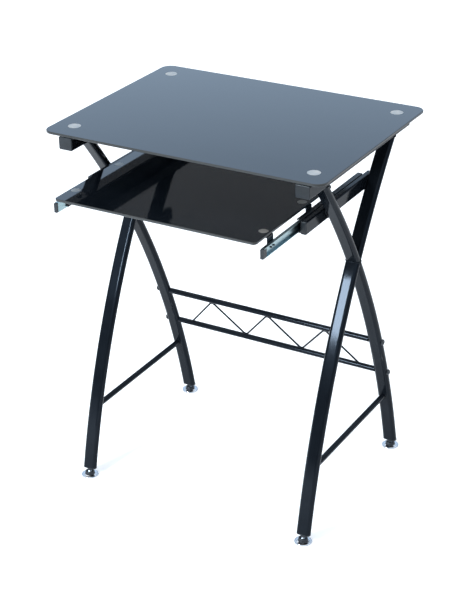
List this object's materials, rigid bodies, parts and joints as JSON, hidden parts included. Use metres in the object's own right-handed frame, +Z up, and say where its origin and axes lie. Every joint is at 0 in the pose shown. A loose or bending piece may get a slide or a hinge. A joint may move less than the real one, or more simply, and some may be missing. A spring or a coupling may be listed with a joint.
{
  "type": "computer desk with keyboard tray",
  "caption": "Small glass computer desk on crossed bent-tube legs, with a glass keyboard shelf on ball-bearing slides and levelling feet.",
  "frame": {"origin": "on the floor, under the middle of the desk's whole box with the shelf as pulled out at rest", "axes": "+X to the user's right, +Y to the rear, +Z up"},
  "size_m": [0.6, 0.539, 0.775],
  "materials": {
    "black_glass": "polished, painted black behind",
    "disc_steel": "satin",
    "black_rubber": "matte",
    "glide_chrome": "polished",
    "zinc_steel": "zinc plated",
    "ball_steel": "polished",
    "slide_black": "semi-gloss",
    "black_plastic": "fine grain",
    "black_screw": "black oxide",
    "black_frame": "gloss powder coat"
  },
  "bodies": {
    "root": {"front_leg_left": "black_frame", "front_leg_right": "black_frame", "glass_top": "black_glass", "leg_brace_left": "black_frame", "leg_brace_right": "black_frame", "leg_plug_front_left": "black_plastic", "leg_plug_front_right": "black_plastic", "leg_plug_rear_left": "black_plastic", "leg_plug_rear_right": "black_plastic", "rear_leg_lower_left": "black_frame", "rear_leg_lower_right": "black_frame", "rear_leg_upper_left": "black_frame", "rear_leg_upper_right": "black_frame", "slide_bumpers": "black_rubber", "slide_channel_left": "slide_black", "slide_channel_right": "slide_black", "slide_screws": "zinc_steel", "top_discs": "disc_steel", "top_pads": "black_rubber", "top_rail_cap_front_left": "black_plastic", "top_rail_cap_front_right": "black_plastic", "top_rail_cap_rear_left": "black_plastic", "top_rail_cap_rear_right": "black_plastic", "top_rail_left": "black_frame", "top_rail_right": "black_frame", "top_screws": "black_screw", "tray_rail_caps_left": "black_plastic", "tray_rail_caps_right": "black_plastic", "tray_rail_left": "black_frame", "tray_rail_right": "black_frame", "truss_bolts": "black_screw", "truss_inserts": "zinc_steel", "truss_lower_tube": "black_frame", "truss_upper_tube": "black_frame", "truss_wire": "black_frame"},
    "shelf": {"bracket_screws": "black_screw", "member_cap_left": "black_plastic", "member_cap_right": "black_plastic", "shelf_bracket_front_left": "black_frame", "shelf_bracket_front_right": "black_frame", "shelf_bracket_rear_left": "black_frame", "shelf_bracket_rear_right": "black_frame", "shelf_disc_screws": "black_screw", "shelf_discs": "disc_steel", "shelf_glass": "black_glass", "slide_member_left": "zinc_steel", "slide_member_right": "zinc_steel"},
    "cage_left": {"ball_cage_left": "zinc_steel", "slide_balls_left": "ball_steel"},
    "cage_right": {"ball_cage_right": "zinc_steel", "slide_balls_right": "ball_steel"},
    "glide_front_left": {"glide_front_left": "glide_chrome", "glide_stud_front_left": "glide_chrome"},
    "glide_front_right": {"glide_front_right": "glide_chrome", "glide_stud_front_right": "glide_chrome"},
    "glide_rear_left": {"glide_rear_left": "glide_chrome", "glide_stud_rear_left": "glide_chrome"},
    "glide_rear_right": {"glide_rear_right": "glide_chrome", "glide_stud_rear_right": "glide_chrome"}
  },
  "joints": [
    {"name": "shelf_slide", "type": "slide", "parent": "root", "child": "shelf", "axis": [0, -1, 0], "range_m": [-0.135, 0.05]},
    {"name": "cage_left_roll", "type": "slide", "parent": "root", "child": "cage_left", "axis": [0, -1, 0], "range_m": [-0.068, 0.0255]},
    {"name": "cage_right_roll", "type": "slide", "parent": "root", "child": "cage_right", "axis": [0, -1, 0], "range_m": [-0.068, 0.0255]},
    {"name": "glide_front_left_level", "type": "slide", "parent": "root", "child": "glide_front_left", "axis": [0, -0.2195, -0.9756], "range_m": [0, 0.01]},
    {"name": "glide_front_right_level", "type": "slide", "parent": "root", "child": "glide_front_right", "axis": [0, -0.2195, -0.9756], "range_m": [0, 0.01]},
    {"name": "glide_rear_left_level", "type": "slide", "parent": "root", "child": "glide_rear_left", "axis": [0, 0.2195, -0.9756], "range_m": [0, 0.01]},
    {"name": "glide_rear_right_level", "type": "slide", "parent": "root", "child": "glide_rear_right", "axis": [0, 0.2195, -0.9756], "range_m": [0, 0.01]}
  ],
  "couplings": [
    {"joint": "cage_left_roll", "follows": "shelf_slide", "ratio": 0.5},
    {"joint": "cage_right_roll", "follows": "shelf_slide", "ratio": 0.5}
  ]
}
